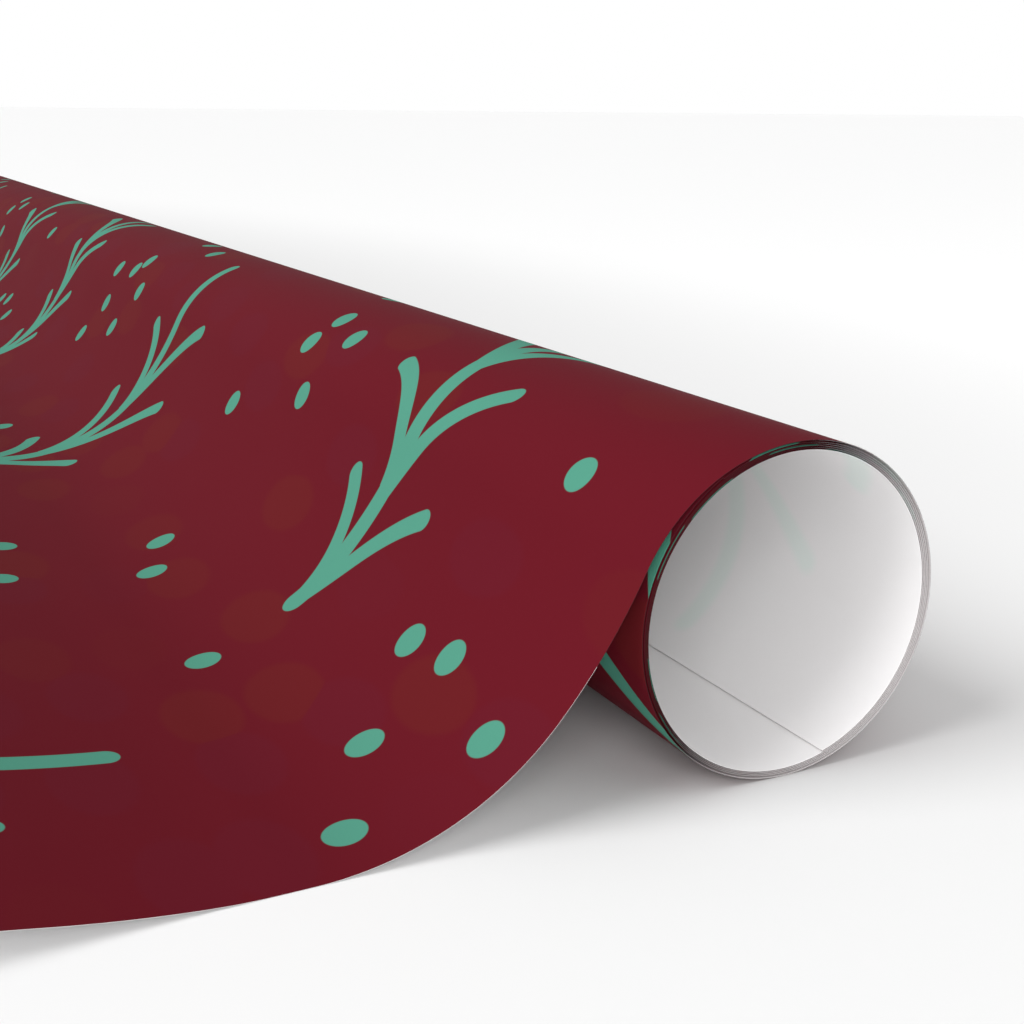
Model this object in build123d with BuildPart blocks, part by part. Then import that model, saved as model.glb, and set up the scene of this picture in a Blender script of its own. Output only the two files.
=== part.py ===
# A roll of printed gift wrap with no core: one sheet of paper, wound up six layers
# deep, with its outer end pulled forward over the roll and laid on the table.
#
# Millimetres. X runs along the roll, +Y towards its back, +Z up. The origin is at the
# middle of the object's footprint, on the table. The printed face looks outwards on
# the roll and upwards on the loose sheet; the plain face is inside and below.
#
# The sheet is cut across at the places where one length of it can move against the
# next: every turn of the roll is a length of its own, and so is the loose end.

import os
from math import cos, degrees, radians, sin

from build123d import *

os.makedirs("parts", exist_ok=True)

# The sheet before it is rolled
sheet_width = 762.0
sheet_length = 914.0
paper = 0.08

# The roll
roll_radius = 23.3  # to the printed face of the outer turn
turn_pitch = 0.24  # from one layer to the next, paper and air
seam_gap = 0.05  # between two lengths that slide along each other
lap_angle = -73.0  # where the innermost end of the sheet lies, and each inner seam
outer_seam_angle = 122.0  # where the outer turn ends, tucked under the sloping sheet
step_in = 60.0  # the part of each inner turn that leads down to its own radius
inner_turns = ["third_turn", "fourth_turn", "fifth_turn", "inner_turn"]

# The loose sheet: it leaves the roll near the top, steepens, then eases onto the table
leave_slope = 5.0
steepest_slope = 63.8
easing_slope = 48.8
over_radius = 26.0
long_radius = 80.6
flat_length = 4.5  # lies flat on the table
curl_radii = [83.0, 182.0]  # the loose end lifts off the table, less and less curled
curl_slopes = [5.0, 10.5]

# Height of the printed face where the sheet leaves the roll, and what is left to drop
# once the first two bends are done, give the radius of the bend down to the table.
leave_angle = 90 + leave_slope
leave_height = roll_radius * (1 + sin(radians(leave_angle)))
over_drop = over_radius * (cos(radians(leave_slope)) - cos(radians(steepest_slope)))
long_drop = long_radius * (cos(radians(easing_slope)) - cos(radians(steepest_slope)))
landing_drop = leave_height - over_drop - long_drop - paper
landing_radius = landing_drop / (1 - cos(radians(easing_slope)))

# Every outline is the printed face's line, drawn with the plain face on its left, and
# is drawn about the roll's axis first, to find how far the loose end reaches.
turn_outlines = {}


def on_roll(radius, angle):
    return (radius * cos(radians(angle)), radius * sin(radians(angle)))


with BuildLine() as outer_outline:
    CenterArc((0, 0), roll_radius, outer_seam_angle, 360 + leave_angle - outer_seam_angle)
turn_outlines["outer_turn"] = outer_outline.wire()

gap_angle = degrees(seam_gap / roll_radius)
with BuildLine() as second_outline:
    start = lap_angle + gap_angle
    CenterArc((0, 0), roll_radius - turn_pitch, start, outer_seam_angle - start)
turn_outlines["second_turn"] = second_outline.wire()

for count, name in enumerate(inner_turns, start=2):
    with BuildLine() as inner_outline:
        radius = roll_radius - count * turn_pitch
        start = lap_angle + gap_angle
        full = CenterArc((0, 0), radius, start, 360 - step_in - gap_angle)
        TangentArc(full @ 1, on_roll(radius + turn_pitch, lap_angle), tangent=full % 1)
    turn_outlines[name] = inner_outline.wire()

wound_length = sum(outline.length for outline in turn_outlines.values())

with BuildLine() as sloping_outline:
    leaving = (-sin(radians(leave_angle)), cos(radians(leave_angle)))
    over = JernArc(
        on_roll(roll_radius, leave_angle), leaving, over_radius, steepest_slope - leave_slope
    )
    long_bend = JernArc(over @ 1, over % 1, long_radius, easing_slope - steepest_slope)
    landing = JernArc(long_bend @ 1, long_bend % 1, landing_radius, -easing_slope)
    flat = Line(landing @ 1, landing @ 1 + Vector(-flat_length, 0))

free_length = sheet_length - wound_length - sloping_outline.wire().length
with BuildLine() as free_outline:
    curl = JernArc(flat @ 1 - Vector(seam_gap, 0), (-1, 0), curl_radii[0], -curl_slopes[0])
    ease = JernArc(curl @ 1, curl % 1, curl_radii[1], curl_slopes[0] - curl_slopes[1])
    tip_length = free_length - curl.length - ease.length
    tip = Line(ease @ 1, ease @ 1 + (ease % 1) * tip_length)

# The roll's axis stands behind the middle of the footprint
reach = roll_radius - (tip @ 1).X
axis_y = reach / 2 - roll_radius
end_plane = Plane(
    origin=(-sheet_width / 2, axis_y, roll_radius), x_dir=(0, 1, 0), z_dir=(1, 0, 0)
)

# The turns of the roll, from the outside in
for name, outline in turn_outlines.items():
    with BuildPart() as turn:
        with BuildSketch(end_plane):
            with BuildLine():
                add(outline)
                offset(amount=paper, side=Side.LEFT, closed=True)
            make_face()
        extrude(amount=sheet_width)
    turn.part.label = name
    export_step(turn.part, f"parts/{name}.step")

# The sheet that slopes from the top of the roll down to the table
with BuildPart() as sloping_sheet:
    with BuildSketch(end_plane):
        with BuildLine():
            add(sloping_outline.wire())
            offset(amount=paper, side=Side.LEFT, closed=True)
        make_face()
    extrude(amount=sheet_width)
sloping_sheet.part.label = "sloping_sheet"
export_step(sloping_sheet.part, "parts/sloping_sheet.step")

# The loose end, curling up off the table
with BuildPart() as free_end:
    with BuildSketch(end_plane):
        with BuildLine():
            add(free_outline.wire())
            offset(amount=paper, side=Side.LEFT, closed=True)
        make_face()
    extrude(amount=sheet_width)
free_end.part.label = "free_end"
export_step(free_end.part, "parts/free_end.step")

print(f"roll axis at y {axis_y:.3f}, z {roll_radius:.3f}; footprint {reach:.3f} deep")
print(f"bore radius {roll_radius - (1 + len(inner_turns)) * turn_pitch - paper:.3f}")
print(f"landing bend radius {landing_radius:.3f}")
print(f"wound {wound_length:.2f}, sloping {sloping_outline.wire().length:.2f}")
print(f"loose end {free_length:.2f}, hinge at y {axis_y + (flat @ 1).X:.4f}")
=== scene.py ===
# Gift wrap wound into a roll without a core, its outer end pulled forward over the
# roll and laid on the table. Metres, in the part's own frame: X runs along the roll,
# Y towards its back, Z up from the table.

import math

import bpy
import numpy as np
from mathutils import Matrix, Vector


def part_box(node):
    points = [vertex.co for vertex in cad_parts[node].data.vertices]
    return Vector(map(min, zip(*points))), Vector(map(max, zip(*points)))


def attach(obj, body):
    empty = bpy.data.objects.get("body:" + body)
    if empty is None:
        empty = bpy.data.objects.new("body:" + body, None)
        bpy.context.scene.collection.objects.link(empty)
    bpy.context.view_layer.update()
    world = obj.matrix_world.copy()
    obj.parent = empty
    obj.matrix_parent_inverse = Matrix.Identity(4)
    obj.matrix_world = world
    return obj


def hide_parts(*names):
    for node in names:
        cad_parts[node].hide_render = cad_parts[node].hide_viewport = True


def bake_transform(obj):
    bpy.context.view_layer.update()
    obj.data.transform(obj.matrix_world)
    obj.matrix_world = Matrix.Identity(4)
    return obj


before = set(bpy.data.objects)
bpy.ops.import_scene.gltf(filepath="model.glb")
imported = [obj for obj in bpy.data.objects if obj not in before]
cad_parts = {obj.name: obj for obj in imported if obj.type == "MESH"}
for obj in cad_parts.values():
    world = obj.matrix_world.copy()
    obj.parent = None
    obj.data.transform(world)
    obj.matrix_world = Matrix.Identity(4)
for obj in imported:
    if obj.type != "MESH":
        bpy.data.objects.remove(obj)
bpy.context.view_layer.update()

rollLow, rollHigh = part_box("outer_turn")
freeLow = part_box("free_end")[0]
rollMiddle = (rollLow + rollHigh) / 2
rollRadius = (rollHigh.z - rollLow.z) / 2
sheetWidth = rollHigh.x - rollLow.x

# The sheet of paper and the way it lies, angles in degrees
sheet = {
    "paper": 0.00008,  # its thickness
    "leaveSlope": 5.0,  # of the sheet where it leaves the roll, down towards the front
    "steepest": 63.8,  # its slope just in front of the roll
    "easing": 48.8,  # its slope where it begins to curve onto the table
    "overRadius": 0.026,  # of the bend from the one slope to the next
    "longRadius": 0.0806,  # and of the long one after it
    "flatLength": 0.00455,  # of the strip flat on the table
    "curls": [(0.083, 5.0), (0.182, 5.5)],  # radius and turn of each bend off the table
    "seamAngle": 122.0,  # where the outer turn goes under the sloping sheet
    "pathStep": 0.001,
    "across": 48,  # faces across the sheet
    "cutEdge": 0.000038,  # what is left of the paper where its cut edge is pressed thin
    "cutDepth": 0.00025,  # how far in from the edge that begins
    "paintedShadeFrom": 0.096,  # from the loose edge: further in, the cut edges are painted dark, as painted shade
}

# The turns inside the outer one
winding = {
    "lapAngle": -73.0,  # where the sheet's inner end lies, inside the roll
    "pitch": 0.0002585,  # from layer to layer, on average
    "crowding": 0.2414,  # how much wider than that at the back, and closer at the front
    "firstLayer": 1.0,  # counted in from the outer turn
    "lastLayer": 5.0,
    "names": ["second_turn", "third_turn", "fourth_turn", "fifth_turn", "inner_turn"],
    "rowStep": 1.5,  # degrees
}


# One output socket of a node tree. Sums written with it add Math nodes to the tree.
class Wire:
    def __init__(self, tree, socket=None):
        self.tree = tree
        self.socket = socket

    def place(self, kind, settings=None, sockets=None, output=0):
        node = self.tree.nodes.new(kind)
        for name, value in (settings or {}).items():
            setattr(node, name, value)
        for key, value in (sockets or {}).items():
            found = [s for s in node.inputs if key in (s.identifier, s.name)]
            entry = node.inputs[key] if isinstance(key, int) else found[0]
            if isinstance(value, Wire):
                self.tree.links.new(value.socket, entry)
            else:
                entry.default_value = value
        if output is None:
            return node
        ends = [s for s in node.outputs if output in (s.identifier, s.name)]
        return Wire(self.tree, ends[0] if ends else node.outputs[output])

    def node(self, kind, operation, *values, output=0):
        return self.place(kind, {"operation": operation}, dict(enumerate(values)), output)

    def maths(self, operation, *others):
        return self.node("ShaderNodeMath", operation, self, *others)

    def vector(self, operation, *others):
        return self.node("ShaderNodeVectorMath", operation, self, *others)

    # a vector sum that gives a number
    def measure(self, operation, *others):
        return self.node("ShaderNodeVectorMath", operation, self, *others, output="Value")

    def scaled(self, factor):
        return self.place(
            "ShaderNodeVectorMath", {"operation": "SCALE"}, {0: self, "Scale": factor}
        )

    def __add__(self, other):
        return self.maths("ADD", other)

    def __radd__(self, other):
        return self.maths("ADD", other)

    def __sub__(self, other):
        return self.maths("SUBTRACT", other)

    def __rsub__(self, other):
        return self.node("ShaderNodeMath", "SUBTRACT", other, self)

    def __mul__(self, other):
        return self.maths("MULTIPLY", other)

    def __rmul__(self, other):
        return self.maths("MULTIPLY", other)

    def __truediv__(self, other):
        return self.maths("DIVIDE", other)

    def __rtruediv__(self, other):
        return self.node("ShaderNodeMath", "DIVIDE", other, self)

    def __gt__(self, other):
        return self.maths("GREATER_THAN", other)

    def __lt__(self, other):
        return self.maths("LESS_THAN", other)

    def __abs__(self):
        return self.maths("ABSOLUTE")

    def atMost(self, other):
        return self.maths("MINIMUM", other)

    def atLeast(self, other):
        return self.maths("MAXIMUM", other)

    def shown(self, name):
        return Wire(self.tree, self.socket.node.outputs[name])


def newTree(name, kind, takes, gives):
    tree = bpy.data.node_groups.new(name, kind)
    for direction, sockets in (("INPUT", takes), ("OUTPUT", gives)):
        for label, (socketType, value) in sockets.items():
            made = tree.interface.new_socket(label, in_out=direction, socket_type=socketType)
            if value is not None:
                made.default_value = value
    board = Wire(tree)
    entry = board.place("NodeGroupInput")
    return board, lambda name: entry.shown(name)


# ---- the print: sprigs with pairs of leaves, and berries between them

# Millimetres on the flat sheet: first across it, along the roll, then from its loose
# edge. The design repeats over the sheet in both directions.
sprigPrint = {
    "repeat": (421.0, 289.4),
    "leafHalfWidth": 1.92,
    "stemHalfWidth": (2.55, 2.05),  # at the foot and at the top
    "berryRadius": 2.95,
    "edgeSoftness": 0.12,
    "belowFoot": 8.0,  # room kept under each sprig's foot
    "cutOff": 25.0,  # how steeply the distance grows past the ends of a leaf's arc
}
millimetres = 1000.0  # in a metre

# Each leaf: where it leaves the stem, how far it starts to one side, its tip, and its
# first direction from the stem's, in degrees.
fullLeaves = [
    (2.5, 0.3, (18.0, 25.0), 14), (2.5, -0.2, (-13.0, 26.0), 10),
    (24.3, 1.0, (20.0, 49.8), 13), (26.6, 0.1, (-20.0, 47.8), 12),
    (53.0, 0.5, (21.5, 78.0), 24), (54.0, -0.1, (-20.0, 73.0), 20),
]
evenLeaves = [
    (1.5, 0.5, (17.2, 24.6), 14), (1.5, -0.5, (-17.0, 21.0), 14),
    (22.5, 0.8, (23.0, 50.0), 14), (20.5, -0.8, (-16.8, 46.6), 12),
    (46.0, 0.6, (22.4, 71.4), 14), (44.0, -0.6, (-18.4, 68.2), 13),
]
narrowLeaves = [
    (6.0, 0.4, (9.4, 26.0), 8), (6.0, -0.4, (-10.6, 24.0), 9),
    (23.0, 0.6, (15.0, 44.4), 12), (22.0, -0.6, (-12.6, 41.4), 10),
    (42.0, 0.6, (17.4, 65.6), 12), (41.0, -0.6, (-14.6, 62.6), 10),
    (61.0, 0.6, (16.0, 84.0), 12), (60.0, -0.6, (-19.6, 80.0), 12),
]
edgeLeaves = [
    (11.0, -0.3, (-25.5, 41.0), 14), (8.0, 0.3, (19.0, 38.0), 15),
    (34.0, -0.5, (-18.5, 66.0), 13), (33.0, 0.5, (20.0, 63.0), 14),
    (56.0, -0.5, (-18.0, 88.0), 13), (56.0, 0.5, (19.0, 84.0), 14),
]
closeLeaves = evenLeaves[:4] + [(46.0, 0.5, (19.0, 74.2), 14), evenLeaves[5]]
# Each sprig: its foot, its leaves, and the points that its stem goes through
sprigs = [
    ((304.3, 74.6), fullLeaves, [(0, 2), (0.6, 20), (1.2, 36), (0, 55), (0.4, 92)]),
    ((150.0, 38.0), evenLeaves, [(0, 0), (0.3, 48), (-1.0, 91.8)]),
    ((1.6, 55.0), narrowLeaves, [(0, 0), (0.4, 50), (-0.6, 98)]),
    ((337.3, -55.0), closeLeaves, [(0, 0), (0.6, 45), (0, 91.8)]),
    ((389.5, 203.0), edgeLeaves, [(0, 0), (0.5, 50), (0, 100)]),
    ((228.0, 172.0), fullLeaves, [(0, 0), (-0.8, 50), (0.6, 92)]),
    ((78.0, 186.0), evenLeaves, [(0, 0), (0.5, 45), (-0.5, 90)]),
]
berries = [
    (356.3, 116.7), (352, 85.5), (340.5, 83.8), (371.5, 80.3), (354, 68.8), (371.5, 59),
    (307.8, 58.3), (260.3, 61.2), (246.3, 66.5), (256.2, 123), (241.7, 126.7),
    (239.8, 118.5), (252, 107.8), (216.8, 99), (251.8, 35), (229.3, 38),
    (118.4, 133.8), (86, 121.4), (81, 117), (99.6, 111.6), (63.2, 115.2), (69.2, 103.8),
    (89.8, 98.4), (61.4, 91.6), (110.6, 54.1), (380.5, 153), (352, 158), (340, 172),
    (271, 184), (262, 196), (283, 205), (186, 162), (172, 175), (196, 188), (181, 214),
    (190, 262), (274, 249), (262, 262), (125, 168), (112, 181), (128, 224), (139, 236),
    (28, 196), (14, 209), (36, 236), (30, 259), (299, 236), (308, 262), (359, 186),
    (318, 205), (97, 138.8), (229.5, 143.4), (120, 262), (28, 12), (62, 28), (84, 8),
    (188, 8), (204, 20), (296, 14),
]


def leafLine(local, leaf):
    leaveHeight, aside, tip, firstAngle = leaf
    side = math.copysign(1, tip[0])
    start = Vector((aside, leaveHeight, 0))
    chord = Vector((*tip, 0)) - start
    first = math.radians(firstAngle)
    half = math.atan2(abs(chord.x), chord.y) - first
    last = first + 2 * half
    radius = chord.length / (2 * math.sin(half))
    centre = start + radius * Vector((side * math.cos(first), -math.sin(first), 0))
    cutOff = sprigPrint["cutOff"]
    backwards = cutOff * Vector((-side * math.sin(first), -math.cos(first), 0))
    onwards = cutOff * Vector((side * math.sin(last), math.cos(last), 0))
    arm = local.vector("SUBTRACT", centre)
    line = abs(arm.measure("LENGTH") - radius)
    line = line.atLeast(arm.measure("DOT_PRODUCT", backwards))
    line = line.atLeast(arm.measure("DOT_PRODUCT", onwards))
    return line.atMost(local.measure("DISTANCE", (*tip, 0)))


def stemLine(local, foot, top, footHalf, topHalf):
    lower, upper = Vector((*foot, 0)), Vector((*top, 0))
    along = upper - lower
    arm = local.vector("SUBTRACT", lower)
    share = arm.measure("DOT_PRODUCT", along / along.length_squared)
    share = share.place("ShaderNodeClamp", None, {"Value": share})
    nearest = share.place(
        "ShaderNodeVectorMath", {"operation": "SCALE"}, {0: along, "Scale": share}
    )
    apart = arm.measure("DISTANCE", nearest)
    return apart - (footHalf + (topHalf - footHalf) * share)


# A place in the design, measured from the repeat of a motif that it falls in. Each
# repeat begins the given distance below its motif.
def fromMotif(inDesign, motif, below):
    width, height = sprigPrint["repeat"]
    moved = inDesign.vector("SUBTRACT", (*motif, 0))
    return moved.vector("WRAP", (width / 2, height - below, 1), (-width / 2, -below, -1))


def sprigShape(inDesign, foot, leaves, stem):
    local = fromMotif(inDesign, foot, sprigPrint["belowFoot"])
    shape = None
    for leaf in leaves:
        line = leafLine(local, leaf) - sprigPrint["leafHalfWidth"]
        shape = line if shape is None else shape.atMost(line)
    footHalf, topHalf = sprigPrint["stemHalfWidth"]
    length = stem[-1][1]
    for lower, upper in zip(stem, stem[1:]):
        halves = [footHalf + (topHalf - footHalf) * p[1] / length for p in (lower, upper)]
        shape = shape.atMost(stemLine(local, lower, upper, *halves))
    return shape


# The print as a group: from a place on the sheet to the distance from the nearest edge
# of the green, in millimetres, negative inside it.
def makePrintGroup():
    board, taken = newTree(
        "sprigPrint", "ShaderNodeTree",
        {"Sheet": ("NodeSocketVector", None)}, {"Distance": ("NodeSocketFloat", None)},
    )
    inDesign = taken("Sheet").scaled(millimetres)
    shape = None
    for sprig in sprigs:
        made = sprigShape(inDesign, *sprig)
        shape = made if shape is None else shape.atMost(made)
    for berry in berries:
        local = fromMotif(inDesign, berry, sprigPrint["repeat"][1] / 2)
        shape = shape.atMost(local.measure("LENGTH") - sprigPrint["berryRadius"])
    shape.place("NodeGroupOutput", None, {"Distance": shape}, None)
    return board.tree


# ---- the papers

# Sizes in metres; noise scales are per metre
inks = {
    "burgundy": (0.112, 0.0072, 0.0136, 1),
    "burgundyWarm": (0.120, 0.0130, 0.0122, 1),
    "burgundyCool": (0.109, 0.0088, 0.0178, 1),
    "mint": (0.073, 0.261, 0.189, 1),
    "blotchSize": 0.020,
    "blotchStretch": (0.7, 1.25),  # cells to one blotch size, across and along
    "blotchScatter": 0.6,
    "blotchRim": (0.40, 0.32),  # from and to these distances from its middle
    "blotchStrength": 0.5,
    "warmTones": (0.55, 0.70),  # which of the blotches' random tones are warm
    "coolTones": (0.40, 0.25),  # and which are cool
    "roughness": 0.52,
    "greenRoughness": 0.05,  # how much rougher the green ink is
    "specular": 0.012,
    "grainScale": 2600.0,
    "grainRoughness": 0.10,
    "grainHeight": 0.000012,
    "broadScale": 30.0,
    "broadRoughness": 0.06,
}
plain = {
    "white": (0.875, 0.860, 0.862, 1),
    "ghostGreen": (0.800, 0.865, 0.835, 1),
    "ghostBlur": 1.2,  # millimetres
    "ghostStrength": 0.9,
    "roughness": 0.75,
    "specular": 0.15,
    "cloudScale": 120.0,
    "cloudRoughness": 0.12,
    "fibreScale": 1500.0,
    "fibreStretch": (1.0, 0.45, 1.0),
    "fibreHeight": 0.000015,
}
cutPaper = {
    "white": (0.72, 0.69, 0.69, 1),
    # painted shade: near-black for the cut edges away from the loose edge, which lie in the
    # roll's shade
    "paintedShadeDark": (0.030, 0.016, 0.018, 1),
    "paler": 1.15,  # the palest fibres against the rest
    "roughness": 0.8,
    "fibreRoughness": 0.1,
    "specular": 0.2,
    "fibreScale": 4000.0,
    "fibreHeight": 0.00001,
}


def newMaterial(name):
    material = bpy.data.materials.new(name)
    material.use_nodes = True
    material.node_tree.nodes.clear()
    board = Wire(material.node_tree)
    uv = board.place("ShaderNodeUVMap", {"uv_map": "sheet"})
    return material, board, uv


def mixColours(factor, first, second):
    sockets = {"Factor_Float": factor, "A_Color": first, "B_Color": second}
    return factor.place("ShaderNodeMix", {"data_type": "RGBA"}, sockets, "Result_Color")


def fade(wire, fromValue, toValue, low=0.0, high=1.0):
    sockets = {"Value": wire, "From Min": fromValue, "From Max": toValue}
    sockets |= {"To Min": low, "To Max": high}
    return wire.place("ShaderNodeMapRange", {"interpolation_type": "SMOOTHSTEP"}, sockets)


def finishSurface(board, colour, roughness, specular, height=None, depth=0.0):
    sockets = {"Base Color": colour, "Roughness": roughness, "Specular IOR Level": specular}
    if height is not None:
        bump = {"Height": height, "Distance": depth}
        sockets["Normal"] = board.place("ShaderNodeBump", None, bump)
    shader = board.place("ShaderNodeBsdfPrincipled", None, sockets)
    board.place("ShaderNodeOutputMaterial", None, {"Surface": shader}, None)


def noiseOver(uv, scale, detail=2.0, stretch=(1, 1, 1)):
    drawn = uv.vector("MULTIPLY", stretch)
    sockets = {"Vector": drawn, "Scale": scale, "Detail": detail}
    return drawn.place("ShaderNodeTexNoise", None, sockets)


def makePrintedFace(group):
    material, board, uv = newMaterial("printedFace")
    distance = board.place("ShaderNodeGroup", {"node_tree": group}, {"Sheet": uv})
    soft = sprigPrint["edgeSoftness"]
    green = fade(distance, soft, -soft)

    # broad soft ovals, a little warmer or cooler than the ground
    cellsAcross, cellsAlong = (n / inks["blotchSize"] for n in inks["blotchStretch"])
    inCells = uv.vector("MULTIPLY", (cellsAcross, cellsAlong, 0))
    cells = inCells.place(
        "ShaderNodeTexVoronoi", {"voronoi_dimensions": "2D"},
        {"Vector": inCells, "Scale": 1.0, "Randomness": inks["blotchScatter"]}, "Distance",
    )
    oval = fade(cells, *inks["blotchRim"]) * inks["blotchStrength"]
    tone = cells.shown("Color").place(
        "ShaderNodeSeparateColor", None, {"Color": cells.shown("Color")}, "Red"
    )
    warm = oval * fade(tone, *inks["warmTones"])
    cool = oval * fade(tone, *inks["coolTones"])
    ground = mixColours(warm, inks["burgundy"], inks["burgundyWarm"])
    ground = mixColours(cool, ground, inks["burgundyCool"])
    colour = mixColours(green, ground, inks["mint"])

    grain = noiseOver(uv, inks["grainScale"], 3.0)
    broad = noiseOver(uv, inks["broadScale"])
    roughness = inks["roughness"] + (grain - 0.5) * inks["grainRoughness"]
    roughness = roughness + (broad - 0.5) * inks["broadRoughness"]
    roughness = roughness + green * inks["greenRoughness"]
    finishSurface(board, colour, roughness, inks["specular"], grain, inks["grainHeight"])
    return material


def makePlainFace(group):
    material, board, uv = newMaterial("plainFace")
    distance = board.place("ShaderNodeGroup", {"node_tree": group}, {"Sheet": uv})
    blur = plain["ghostBlur"]
    ghost = fade(distance, blur, -blur, 0.0, plain["ghostStrength"])
    colour = mixColours(ghost, plain["white"], plain["ghostGreen"])
    fibre = noiseOver(uv, plain["fibreScale"], 4.0, plain["fibreStretch"])
    clouds = noiseOver(uv, plain["cloudScale"], 3.0)
    roughness = plain["roughness"] + (clouds - 0.5) * plain["cloudRoughness"]
    finishSurface(board, colour, roughness, plain["specular"], fibre, plain["fibreHeight"])
    return material


def makeCutEdge(name, colour):
    material, board, uv = newMaterial(name)
    fibre = noiseOver(uv, cutPaper["fibreScale"])
    paler = [min(1.0, part * cutPaper["paler"]) for part in colour[:3]]
    tinted = mixColours(fibre, colour, (*paler, 1))
    roughness = cutPaper["roughness"] + (fibre - 0.5) * cutPaper["fibreRoughness"]
    finishSurface(
        board, tinted, roughness, cutPaper["specular"], fibre, cutPaper["fibreHeight"]
    )
    return material


printGroup = makePrintGroup()
printedFace = makePrintedFace(printGroup)
plainFace = makePlainFace(printGroup)
whiteEdge = makeCutEdge("whiteEdge", cutPaper["white"])
# the dark cut edges are painted shade, not ink
paintedShadeEdge = makeCutEdge("paintedShadeEdge", cutPaper["paintedShadeDark"])
print("papers and print made")


# ---- how paper is laid along a line

creaseAngle = 40.0  # degrees between two faces, past which their edge stays sharp
joinedWithin = 0.000002

paperInputs = {
    "Width": ("NodeSocketFloat", 0.7),
    "Paper": ("NodeSocketFloat", 0.0001),
    "Cut Edge": ("NodeSocketFloat", 0.00001),
    "Cut Depth": ("NodeSocketFloat", 0.0002),
    "Inked From": ("NodeSocketFloat", 0.1),
    "Across": ("NodeSocketInt", 40),
    "Rows": ("NodeSocketInt", 200),
    "Measured From": ("NodeSocketFloat", 0.0),
    "Printed": ("NodeSocketMaterial", None),
    "Plain": ("NodeSocketMaterial", None),
    "Edge": ("NodeSocketMaterial", None),
    "Inked Edge": ("NodeSocketMaterial", None),
}


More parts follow.
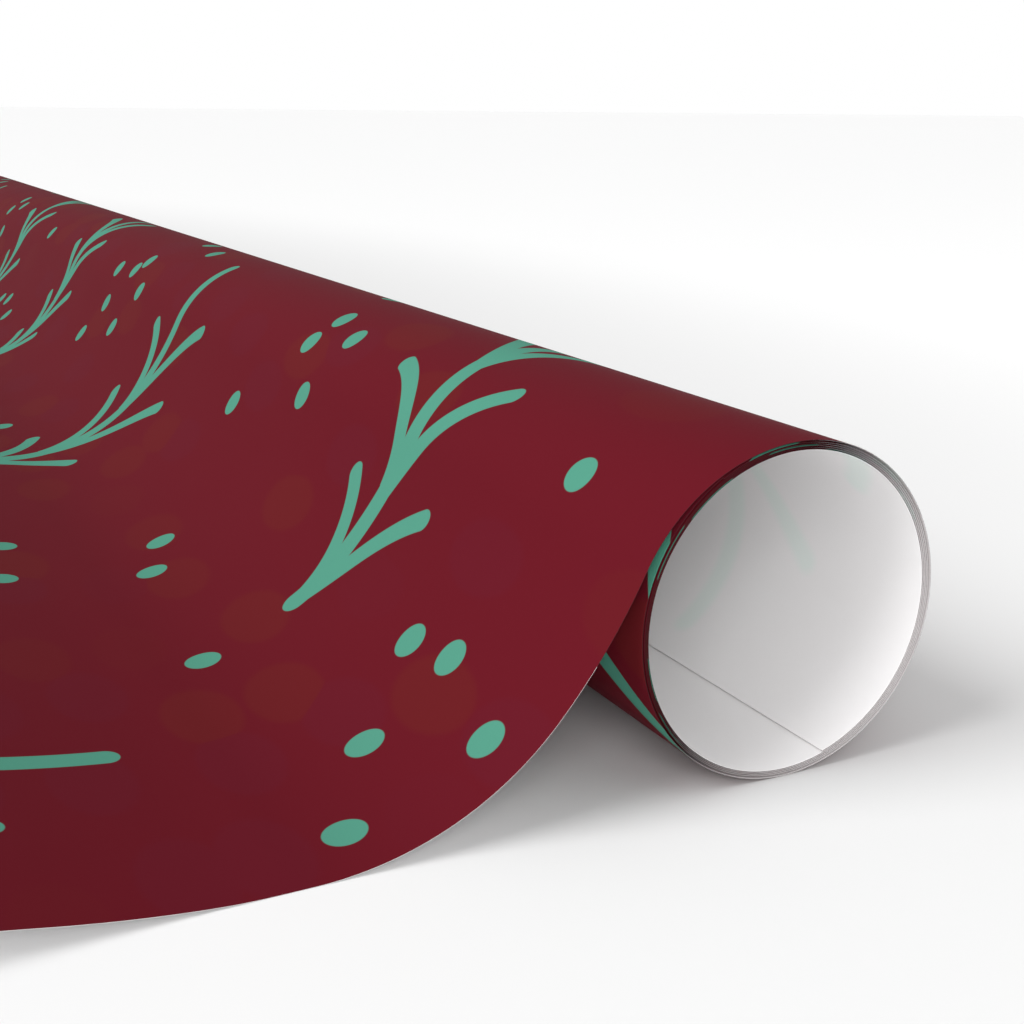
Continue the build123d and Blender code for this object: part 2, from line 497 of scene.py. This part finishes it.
# Lays paper of the given width and thickness along a line in the YZ plane, with the
# printed face on the line. The cut edges at its two sides are pressed thin.
def makePaperAlong():
    board, taken = newTree(
        "paperAlong", "GeometryNodeTree",
        {"Line": ("NodeSocketGeometry", None)} | paperInputs,
        {"Paper": ("NodeSocketGeometry", None)},
    )
    curve = board.place("GeometryNodeMeshToCurve", None, {"Mesh": taken("Line")})
    length = board.place("GeometryNodeCurveLength", None, {"Curve": curve})

    # a flat grid with a narrow strip along each side
    faces = taken("Across")
    wider = taken("Width") * ((faces + 2) / faces)
    grid = board.place(
        "GeometryNodeMeshGrid", None,
        {
            "Size X": wider, "Size Y": length,
            "Vertices X": faces + 3, "Vertices Y": taken("Rows") + 1,
        },
        "Mesh",
    )
    place = board.place("GeometryNodeInputPosition")
    flatX = board.place("ShaderNodeSeparateXYZ", None, {"Vector": place}, "X")
    half = taken("Width") * 0.5
    inner = half - taken("Cut Depth")
    isStrip = abs(flatX) > half * 1.001  # past the sheet's own side
    aside = abs(flatX).atMost(inner) + isStrip * taken("Cut Depth")
    across = aside * flatX.maths("SIGN")
    along = flatX.shown("Y") + length * 0.5
    measured = along + taken("Measured From")
    onSheet = board.place("ShaderNodeCombineXYZ", None, {"X": across, "Y": measured})
    thickness = taken("Paper") + (taken("Cut Edge") - taken("Paper")) * isStrip
    stored = grid
    for label, kind, domain, value in (
        ("sheet", "FLOAT2", "CORNER", onSheet),
        ("share", "FLOAT", "POINT", along / length),
        ("thickness", "FLOAT", "POINT", thickness),
    ):
        stored = board.place(
            "GeometryNodeStoreNamedAttribute", {"data_type": kind, "domain": domain},
            {"Geometry": stored, "Name": label, "Value": value},
        )
    sample = board.place(
        "GeometryNodeSampleCurve", {"mode": "LENGTH"}, {"Curves": curve, "Length": along},
        "Position",
    )
    onLine = board.place("ShaderNodeSeparateXYZ", None, {"Vector": sample}, "Y")
    bent = board.place(
        "ShaderNodeCombineXYZ", None, {"X": across, "Y": onLine, "Z": onLine.shown("Z")}
    )
    outside = board.place("GeometryNodeSetPosition", None, {"Geometry": stored, "Position": bent})

    # the plain face, moved in by the paper's thickness
    extruded = board.place(
        "GeometryNodeExtrudeMesh", {"mode": "FACES"},
        {"Mesh": outside, "Offset Scale": 0.0, "Individual": False}, "Mesh",
    )
    share = board.place(
        "GeometryNodeInputNamedAttribute", {"data_type": "FLOAT"}, {"Name": "share"}, "Attribute"
    )
    thick = board.place(
        "GeometryNodeInputNamedAttribute", {"data_type": "FLOAT"}, {"Name": "thickness"},
        "Attribute",
    )
    heading = board.place(
        "GeometryNodeSampleCurve", {"mode": "LENGTH"},
        {"Curves": curve, "Length": share * length}, "Tangent",
    )
    shift = heading.vector("CROSS_PRODUCT", (1, 0, 0)).scaled(thick)
    back = board.place(
        "GeometryNodeSetPosition", None,
        {"Geometry": extruded, "Selection": extruded.shown("Top"), "Offset": shift},
    )
    # further in than this, the pressed cut edges take the painted-shade colour
    inPaintedShade = share * length + taken("Measured From") > taken("Inked From")
    isThin = thick < taken("Paper") * 0.9  # pressed, at the sheet's side
    isSide = extruded.shown("Side")
    for chosen, paper in (
        (extruded.shown("Top"), "Plain"), (isSide, "Edge"),
        (isSide * isThin * inPaintedShade, "Inked Edge"),
    ):
        back = board.place(
            "GeometryNodeSetMaterial", None,
            {"Geometry": back, "Selection": chosen, "Material": taken(paper)},
        )
    back = board.place("GeometryNodeFlipFaces", None, {"Mesh": back})
    front = board.place(
        "GeometryNodeSetMaterial", None, {"Geometry": outside, "Material": taken("Printed")}
    )
    joined = board.place("GeometryNodeJoinGeometry", None, {"Geometry": front})
    joined.tree.links.new(back.socket, joined.socket.node.inputs["Geometry"])
    merged = board.place(
        "GeometryNodeMergeByDistance", None, {"Geometry": joined, "Distance": joinedWithin}
    )
    turning = board.place("GeometryNodeInputMeshEdgeAngle", None, None, "Unsigned Angle")
    sharp = turning > math.radians(creaseAngle)
    smooth = board.place(
        "GeometryNodeSetShadeSmooth", {"domain": "FACE"},
        {"Geometry": merged, "Shade Smooth": True},
    )
    creased = board.place(
        "GeometryNodeSetShadeSmooth", {"domain": "EDGE"},
        {"Geometry": smooth, "Selection": sharp, "Shade Smooth": False},
    )
    real = board.place("GeometryNodeRealizeInstances", None, {"Geometry": creased})
    board.place("NodeGroupOutput", None, {"Paper": real}, None)
    return board.tree


# A length of the spiral: the layers lie close together at the front of the roll and
# further apart at its back.
def makeWoundTurn(paperAlong):
    rule = {
        "Start Angle": ("NodeSocketFloat", 0.0),
        "Wound Angle": ("NodeSocketFloat", 6.0),
        "First Layer": ("NodeSocketFloat", 1.0),
        "Last Layer": ("NodeSocketFloat", 2.0),
        "Roll Radius": ("NodeSocketFloat", 0.02),
        "Pitch": ("NodeSocketFloat", 0.0002),
        "Crowding": ("NodeSocketFloat", 0.2),
        "Axis Y": ("NodeSocketFloat", 0.0),
        "Axis Z": ("NodeSocketFloat", 0.0),
    }
    board, taken = newTree(
        "woundTurn", "GeometryNodeTree",
        {"Line": ("NodeSocketGeometry", None)} | paperInputs | rule,
        {"Paper": ("NodeSocketGeometry", None)},
    )
    line = board.place(
        "GeometryNodeMeshLine", {"mode": "OFFSET", "count_mode": "TOTAL"},
        {"Count": taken("Rows") + 1, "Offset": (0, 0, 1)},
    )
    index = board.place("GeometryNodeInputIndex")
    share = index / taken("Rows")
    angle = taken("Start Angle") - taken("Wound Angle") * share
    layer = taken("First Layer") + (taken("Last Layer") - taken("First Layer")) * share
    cosine = angle.maths("COSINE")
    spread = taken("Crowding") * cosine + 1
    radius = taken("Roll Radius") - taken("Pitch") * layer * spread
    bent = board.place(
        "ShaderNodeCombineXYZ", None,
        {
            "X": 0.0,
            "Y": taken("Axis Y") + radius * cosine,
            "Z": taken("Axis Z") + radius * angle.maths("SINE"),
        },
    )
    spiral = board.place("GeometryNodeSetPosition", None, {"Geometry": line, "Position": bent})
    sockets = {name: taken(name) for name in paperInputs} | {"Line": spiral}
    made = board.place("GeometryNodeGroup", {"node_tree": paperAlong}, sockets)
    board.place("NodeGroupOutput", None, {"Paper": made}, None)
    return board.tree


# Runs a tree on a line of points and gives back the plain mesh that it makes
def makePaper(name, tree, points, values, edge):
    line = bpy.data.meshes.new(name + "Line")
    line.from_pydata(points, [(i, i + 1) for i in range(len(points) - 1)], [])
    holder = bpy.data.objects.new(name + "Line", line)
    bpy.context.scene.collection.objects.link(holder)
    modifier = holder.modifiers.new("paper", "NODES")
    modifier.node_group = tree
    papers = {
        "Printed": printedFace, "Plain": plainFace, "Edge": edge, "Inked Edge": paintedShadeEdge
    }
    common = {
        "Width": sheetWidth, "Paper": sheet["paper"], "Across": sheet["across"],
        "Cut Edge": sheet["cutEdge"], "Cut Depth": sheet["cutDepth"],
        "Inked From": sheet["paintedShadeFrom"],
    }
    for label, value in (common | values | papers).items():
        modifier[tree.interface.items_tree[label].identifier] = value
    evaluated = holder.evaluated_get(bpy.context.evaluated_depsgraph_get())
    mesh = bpy.data.meshes.new_from_object(evaluated)
    mesh.name = name
    while None in list(mesh.materials):
        mesh.materials.pop(index=list(mesh.materials).index(None))
    bpy.data.objects.remove(holder)
    piece = bpy.data.objects.new(name, mesh)
    bpy.context.scene.collection.objects.link(piece)
    print(name, len(mesh.polygons), "faces")
    return piece


# ---- the sheet from its loose edge to the end of the outer turn

# Points along straight runs and bends, from a start and a heading in the YZ plane.
# A bend is (radius, turn), with the turn positive to the left; a run is (length,).
def follow(start, heading, parts):
    step = sheet["pathStep"]
    points = [start.copy()]
    for part in parts:
        here = points[-1]
        ahead = Vector((math.cos(heading), math.sin(heading)))
        if len(part) == 1:
            count = max(1, math.ceil(part[0] / step))
            points += [here + ahead * part[0] * (i + 1) / count for i in range(count)]
            continue
        radius, turn = part[0], math.radians(part[1])
        side = math.copysign(1, turn)
        centre = here + Vector((-ahead.y, ahead.x)) * radius * side
        count = max(2, math.ceil(radius * abs(turn) / step))
        arm = here - centre
        for i in range(count):
            swung = arm.copy()
            swung.rotate(Matrix.Rotation(turn * (i + 1) / count, 2))
            points.append(centre + swung)
        heading += turn
    return points, heading


def pathLength(points):
    return sum((b - a).length for a, b in zip(points, points[1:]))


def sheetPath():
    leave = math.radians(90 + sheet["leaveSlope"])
    axis = Vector((rollMiddle.y, rollMiddle.z))
    start = axis + rollRadius * Vector((math.cos(leave), math.sin(leave)))
    steepest, easing = sheet["steepest"], sheet["easing"]

    def dropOf(radius, first, last):
        return radius * abs(math.cos(math.radians(first)) - math.cos(math.radians(last)))

    overDrop = dropOf(sheet["overRadius"], sheet["leaveSlope"], steepest)
    longDrop = dropOf(sheet["longRadius"], steepest, easing)
    landingDrop = start.y - overDrop - longDrop - sheet["paper"]
    landingRadius = landingDrop / (1 - math.cos(math.radians(easing)))
    bends = [
        (sheet["overRadius"], steepest - sheet["leaveSlope"]),
        (sheet["longRadius"], easing - steepest),
        (landingRadius, -easing),
        (sheet["flatLength"],),
    ]
    bends += [(radius, -turn) for radius, turn in sheet["curls"]]
    forward = math.pi + math.radians(sheet["leaveSlope"])
    points, heading = follow(start, forward, bends)
    tip = (points[-1].x - freeLow.y) / abs(math.cos(heading))
    points += follow(points[-1], heading, [(tip,)])[0][1:]
    around = 360 + 90 + sheet["leaveSlope"] - sheet["seamAngle"]
    turn = follow(start, forward + math.pi, [(rollRadius, -around)])[0]
    return points[::-1] + turn[1:], pathLength(points)


paperAlong = makePaperAlong()
woundTurn = makeWoundTurn(paperAlong)

path, freeLength = sheetPath()
pulledLength = pathLength(path)
pulledSheet = makePaper(
    "pulled_paper", paperAlong, [(0, p.x, p.y) for p in path],
    {"Rows": round(pulledLength / sheet["pathStep"]), "Measured From": 0.0}, whiteEdge,
)
print(f"sheet measured: free {freeLength:.4f}, with outer turn {pulledLength:.4f}")


# ---- the turns inside

def woundPieces():
    made = []
    start = sheet["seamAngle"]
    woundAngle = start - winding["lapAngle"] + 360 * (len(winding["names"]) - 1)
    perDegree = (winding["lastLayer"] - winding["firstLayer"]) / woundAngle
    woundSoFar = 0.0
    measured = pulledLength
    for number, name in enumerate(winding["names"]):
        turned = start - winding["lapAngle"] if number == 0 else 360.0
        first = winding["firstLayer"] + woundSoFar * perDegree
        last = first + turned * perDegree
        meanRadius = rollRadius - winding["pitch"] * (first + last) / 2
        innermost = name == winding["names"][-1]
        piece = makePaper(
            name + "_paper", woundTurn, [(0, 0, 0), (0, 0, 1)],
            {
                "Rows": round(turned / winding["rowStep"]),
                "Measured From": measured,
                "Start Angle": math.radians(start),
                "Wound Angle": math.radians(turned),
                "First Layer": first,
                "Last Layer": last,
                "Roll Radius": rollRadius,
                "Pitch": winding["pitch"],
                "Crowding": winding["crowding"],
                "Axis Y": rollMiddle.y,
                "Axis Z": rollMiddle.z,
            },
            # all turns but the innermost get cut edges painted dark as shade
            whiteEdge if innermost else paintedShadeEdge,
        )
        length = meanRadius * math.radians(turned)
        made.append((name, piece, length))
        measured += length
        woundSoFar += turned
        start = winding["lapAngle"]
    print(f"whole sheet: {measured:.4f} long")
    return made


turns = woundPieces()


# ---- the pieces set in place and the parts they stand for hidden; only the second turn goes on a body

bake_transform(pulledSheet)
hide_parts("free_end", "sloping_sheet", "outer_turn")

outside = None
for name, piece, length in turns:
    if outside is None:
        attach(piece, name)
    else:
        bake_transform(piece)
        shares = np.zeros(len(piece.data.vertices), np.float32)
        piece.data.attributes["share"].data.foreach_get("value", shares)
    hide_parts(name)
    outside = name


# ---- floor, light and camera

studio = {
    "floorSize": 80.0,
    # painted light and shade: the floor is coloured darker near the roll and paler further off,
    # evening out the lamps' light and fading the floor into the white sky
    "floorNear": (0.815, 0.815, 0.815, 1),
    "floorFar": (0.99, 0.99, 0.99, 1),
    "floorRoughness": 0.6,
    "floorSpecular": 0.1,
    "floorPales": (0.14, 0.42),  # from and to these distances behind and in front
    "floorLength": 0.35,  # the same for distances along the roll, as a share
    "skyStrength": 0.57,
    "keyStrength": 2.15,
    "keySpread": 38.0,  # degrees that the key light spans
    "keyFrom": (-0.06, -0.76, 0.65),  # direction to it
    "fillEnergy": 6.2,
    "fillSize": 0.8,
    "fillPlace": (1.28, -0.43, 0.38),
    "fillAim": (0.381, 0.047, 0.023),
}
cameraAt = {
    "place": (0.5220, -0.06566, 0.08663),
    "yaw": 63.168,
    "pitch": 15.755,
    "roll": 0.569,
    "lens": 50.25,
}


def makeFloor():
    half = studio["floorSize"] / 2
    corners = [(-half, -half, 0), (half, -half, 0), (half, half, 0), (-half, half, 0)]
    mesh = bpy.data.meshes.new("floor")
    mesh.from_pydata(corners, [], [(0, 1, 2, 3)])
    floor = bpy.data.objects.new("floor", mesh)
    bpy.context.scene.collection.objects.link(floor)
    material = bpy.data.materials.new("paleFloor")
    material.use_nodes = True
    material.node_tree.nodes.clear()
    board = Wire(material.node_tree)
    place = board.place("ShaderNodeTexCoord", None, None, "Object")
    drawn = place.vector("MULTIPLY", (studio["floorLength"], 1, 0))
    # painted light: the floor gets paler with distance from the roll
    paler = fade(drawn.measure("LENGTH"), *studio["floorPales"])
    colour = mixColours(paler, studio["floorNear"], studio["floorFar"])
    finishSurface(board, colour, studio["floorRoughness"], studio["floorSpecular"])
    mesh.materials.append(material)


def makeSky():
    world = bpy.data.worlds.new("studio")
    bpy.context.scene.world = world
    world.use_nodes = True
    world.node_tree.nodes.clear()
    board = Wire(world.node_tree)
    seen = board.place("ShaderNodeLightPath", None, None, "Is Camera Ray")
    strength = seen * (1 - studio["skyStrength"]) + studio["skyStrength"]
    sky = board.place("ShaderNodeBackground", None, {"Color": (1, 1, 1, 1), "Strength": strength})
    board.place("ShaderNodeOutputWorld", None, {"Surface": sky}, None)


def makeLamp(name, kind, place, aim, energy):
    lamp = bpy.data.lights.new(name, kind)
    lamp.energy = energy
    holder = bpy.data.objects.new(name, lamp)
    bpy.context.scene.collection.objects.link(holder)
    holder.location = place
    holder.rotation_euler = (Vector(aim) - Vector(place)).to_track_quat("-Z", "Y").to_euler()
    return lamp


def makeLights():
    key = makeLamp("key", "SUN", studio["keyFrom"], (0, 0, 0), studio["keyStrength"])
    key.angle = math.radians(studio["keySpread"])
    fill = makeLamp(
        "fill", "AREA", studio["fillPlace"], studio["fillAim"], studio["fillEnergy"]
    )
    fill.shape = "DISK"
    fill.size = studio["fillSize"]


def makeCamera():
    camera = bpy.data.cameras.new("camera")
    camera.lens = cameraAt["lens"]
    camera.clip_start = 0.01
    holder = bpy.data.objects.new("camera", camera)
    bpy.context.scene.collection.objects.link(holder)
    turned = Matrix.Rotation(math.radians(cameraAt["yaw"]), 4, "Z")
    turned @= Matrix.Rotation(math.radians(90 - cameraAt["pitch"]), 4, "X")
    turned @= Matrix.Rotation(math.radians(cameraAt["roll"]), 4, "Z")
    holder.matrix_world = Matrix.Translation(cameraAt["place"]) @ turned
    bpy.context.scene.camera = holder


makeFloor()
makeSky()
makeLights()
makeCamera()
bpy.context.scene.view_settings.view_transform = "Standard"
print("floor, light and camera in place")
